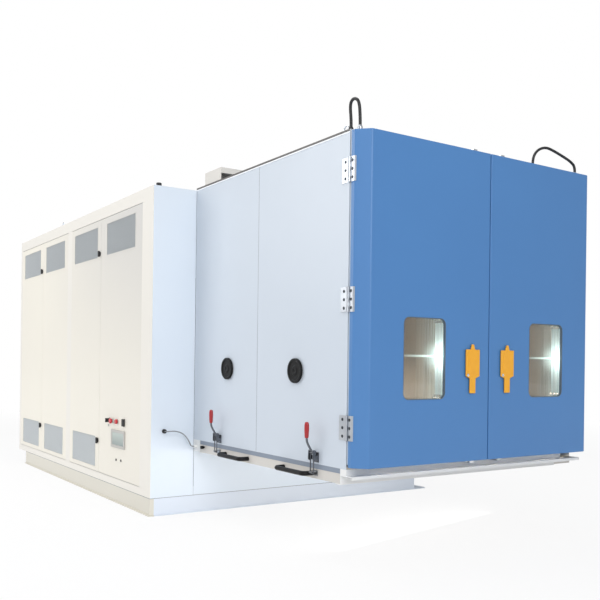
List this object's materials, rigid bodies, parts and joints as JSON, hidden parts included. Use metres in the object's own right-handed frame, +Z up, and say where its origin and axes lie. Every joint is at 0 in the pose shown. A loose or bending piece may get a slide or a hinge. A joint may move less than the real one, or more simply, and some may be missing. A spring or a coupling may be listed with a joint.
{
  "type": "environmental test chamber",
  "caption": "Insulated walk-up test chamber with blue double doors, windows, cable ports and a clamped floor plate, standing out from a machine cabinet on a channel base.",
  "frame": {"origin": "on the floor, under the middle of the machine cabinet's base", "axes": "+Y from the doors back through the cabinet, +X to the right as one faces the doors, +Z up"},
  "size_m": [2.45, 5.1746, 2.357],
  "materials": {
    "cabinet_cream": "satin",
    "chamber_white": "satin",
    "door_blue": "satin",
    "insulation": "matte",
    "stainless": "satin",
    "seal_rubber": "matte",
    "rail_steel": "satin",
    "bright_steel": "polished",
    "black_plastic": "satin",
    "cable_rubber": "satin",
    "lead_grey": "satin",
    "plug_rubber": "matte",
    "motor_grey": "satin",
    "coil_aluminium": "satin",
    "compressor_black": "satin",
    "panel_plastic": "satin",
    "red_plastic": "gloss",
    "window_glass": "polished",
    "handle_amber": "satin"
  },
  "bodies": {
    "root": {"base_frame": "cabinet_cream", "cabinet_frame": "cabinet_cream", "cabinet_panels": "cabinet_cream", "chamber_shell": "chamber_white", "chamber_insulation": "insulation", "chamber_liner": "stainless", "chamber_seals": "seal_rubber", "plate_rails": "rail_steel", "clamp_brackets": "bright_steel", "port_sleeves": "stainless", "lock_keepers": "bright_steel", "hinge_fixed_leaves": "bright_steel", "cable_glands": "black_plastic", "left_door_cable": "cable_rubber", "right_door_cable": "cable_rubber", "sensor_lead": "lead_grey", "lifting_eyes": "bright_steel", "roof_hood": "chamber_white", "air_baffle": "stainless", "fan_motor": "motor_grey", "evaporator_coil": "coil_aluminium", "compressors": "compressor_black", "condenser": "coil_aluminium", "electrical_plate": "motor_grey"},
    "left_door": {"left_door_shell": "door_blue", "left_door_insulation": "insulation", "left_door_liner": "stainless", "left_window": "window_glass", "left_door_fittings": "bright_steel"},
    "right_door": {"right_door_shell": "door_blue", "right_door_insulation": "insulation", "right_door_liner": "stainless", "right_window": "window_glass", "right_door_fittings": "bright_steel"},
    "left_handle": {"left_handle": "handle_amber"},
    "right_handle": {"right_handle": "handle_amber"},
    "left_lock_bar": {"left_lock_bar": "bright_steel"},
    "right_lock_bar": {"right_lock_bar": "bright_steel"},
    "side_door_1": {"side_door_1": "cabinet_cream", "control_panel": "panel_plastic"},
    "side_door_2": {"side_door_2": "cabinet_cream"},
    "side_door_3": {"side_door_3": "cabinet_cream"},
    "side_door_4": {"side_door_4": "cabinet_cream"},
    "latch_front_upper": {"latch_front_upper": "black_plastic"},
    "latch_front_lower": {"latch_front_lower": "black_plastic"},
    "latch_rear_upper": {"latch_rear_upper": "black_plastic"},
    "latch_rear_lower": {"latch_rear_lower": "black_plastic"},
    "selector_knob": {"selector_knob": "black_plastic"},
    "stop_button": {"stop_button": "red_plastic"},
    "floor_plate": {"floor_plate": "rail_steel", "plate_fittings": "black_plastic"},
    "clamp_lever_1": {"clamp_lever_1": "bright_steel"},
    "clamp_lever_2": {"clamp_lever_2": "bright_steel"},
    "clamp_hook_1": {"clamp_hook_1": "bright_steel"},
    "clamp_hook_2": {"clamp_hook_2": "bright_steel"},
    "port_plug_1": {"port_plug_1": "plug_rubber"},
    "port_plug_2": {"port_plug_2": "plug_rubber"},
    "circulation_fan": {"circulation_fan": "stainless"},
    "condenser_fan": {"condenser_fan": "motor_grey"}
  },
  "joints": [
    {"name": "left_door_swing", "type": "hinge", "parent": "root", "child": "left_door", "pos_m": [-0.903, -3.3953, 1.345], "axis": [0, 0, -1], "range_deg": [0, 110]},
    {"name": "right_door_swing", "type": "hinge", "parent": "root", "child": "right_door", "pos_m": [0.903, -3.3953, 1.345], "axis": [0, 0, 1], "range_deg": [0, 110]},
    {"name": "left_handle_turn", "type": "hinge", "parent": "left_door", "child": "left_handle", "pos_m": [-0.135, -3.4906, 1.067], "axis": [0, -1, 0], "range_deg": [0, 90]},
    {"name": "left_lock_bar_turn", "type": "hinge", "parent": "left_door", "child": "left_lock_bar", "pos_m": [-0.135, -3.4606, 1.345], "axis": [0, 0, -1], "range_deg": [0, 90]},
    {"name": "right_handle_turn", "type": "hinge", "parent": "right_door", "child": "right_handle", "pos_m": [0.135, -3.4906, 1.067], "axis": [0, -1, 0], "range_deg": [0, 90]},
    {"name": "right_lock_bar_turn", "type": "hinge", "parent": "right_door", "child": "right_lock_bar", "pos_m": [0.135, -3.4606, 1.345], "axis": [0, 0, 1], "range_deg": [0, 90]},
    {"name": "side_door_1_swing", "type": "hinge", "parent": "root", "child": "side_door_1", "pos_m": [-1.208, -1.485, 1.132], "axis": [0, 0, 1], "range_deg": [0, 110]},
    {"name": "side_door_2_swing", "type": "hinge", "parent": "root", "child": "side_door_2", "pos_m": [-1.208, 0.034, 1.132], "axis": [0, 0, -1], "range_deg": [0, 90]},
    {"name": "side_door_3_swing", "type": "hinge", "parent": "root", "child": "side_door_3", "pos_m": [-1.208, 0.143, 1.132], "axis": [0, 0, 1], "range_deg": [0, 90]},
    {"name": "side_door_4_swing", "type": "hinge", "parent": "root", "child": "side_door_4", "pos_m": [-1.208, 1.61, 1.132], "axis": [0, 0, -1], "range_deg": [0, 110]},
    {"name": "latch_front_upper_turn", "type": "hinge", "parent": "side_door_2", "child": "latch_front_upper", "pos_m": [-1.208, -0.65, 1.834], "axis": [1, 0, 0], "range_deg": [0, 90]},
    {"name": "latch_front_lower_turn", "type": "hinge", "parent": "side_door_2", "child": "latch_front_lower", "pos_m": [-1.208, -0.65, 0.41], "axis": [1, 0, 0], "range_deg": [0, 90]},
    {"name": "latch_rear_upper_turn", "type": "hinge", "parent": "side_door_4", "child": "latch_rear_upper", "pos_m": [-1.208, 0.906, 1.834], "axis": [1, 0, 0], "range_deg": [0, 90]},
    {"name": "latch_rear_lower_turn", "type": "hinge", "parent": "side_door_4", "child": "latch_rear_lower", "pos_m": [-1.208, 0.906, 0.41], "axis": [1, 0, 0], "range_deg": [0, 90]},
    {"name": "selector_turn", "type": "hinge", "parent": "side_door_1", "child": "selector_knob", "pos_m": [-1.208, -0.903, 0.582], "axis": [-1, 0, 0], "range_deg": [-45, 45]},
    {"name": "stop_button_press", "type": "slide", "parent": "side_door_1", "child": "stop_button", "axis": [1, 0, 0], "range_m": [0, 0.006], "stiffness_N_per_m": 600, "springref_m": -0.002},
    {"name": "floor_plate_slide", "type": "slide", "parent": "root", "child": "floor_plate", "axis": [1, 0, 0], "range_m": [0, 0.9]},
    {"name": "clamp_1_lever", "type": "hinge", "parent": "root", "child": "clamp_lever_1", "pos_m": [-0.921, -2.04, 0.53], "axis": [0, -1, 0], "range_deg": [0, 100]},
    {"name": "clamp_1_hook", "type": "hinge", "parent": "clamp_lever_1", "child": "clamp_hook_1", "pos_m": [-0.921, -2.04, 0.556], "axis": [0, -1, 0], "range_deg": [-100, 0]},
    {"name": "clamp_2_lever", "type": "hinge", "parent": "root", "child": "clamp_lever_2", "pos_m": [-0.921, -3.126, 0.53], "axis": [0, -1, 0], "range_deg": [0, 100]},
    {"name": "clamp_2_hook", "type": "hinge", "parent": "clamp_lever_2", "child": "clamp_hook_2", "pos_m": [-0.921, -3.126, 0.556], "axis": [0, -1, 0], "range_deg": [-100, 0]},
    {"name": "port_plug_1_pull", "type": "slide", "parent": "root", "child": "port_plug_1", "axis": [-1, 0, 0], "range_m": [0, 0.2]},
    {"name": "port_plug_2_pull", "type": "slide", "parent": "root", "child": "port_plug_2", "axis": [-1, 0, 0], "range_m": [0, 0.2]},
    {"name": "circulation_fan_spin", "type": "hinge", "parent": "root", "child": "circulation_fan", "pos_m": [0, -1.668, 1.5235], "axis": [0, 1, 0], "continuous": true},
    {"name": "condenser_fan_spin", "type": "hinge", "parent": "root", "child": "condenser_fan", "pos_m": [0, 0.95, 0.69], "axis": [0, 1, 0], "continuous": true}
  ],
  "couplings": [
    {"joint": "left_lock_bar_turn", "follows": "left_handle_turn", "ratio": 1},
    {"joint": "right_lock_bar_turn", "follows": "right_handle_turn", "ratio": 1},
    {"joint": "clamp_1_hook", "follows": "clamp_1_lever", "ratio": -1},
    {"joint": "clamp_2_hook", "follows": "clamp_2_lever", "ratio": -1}
  ]
}
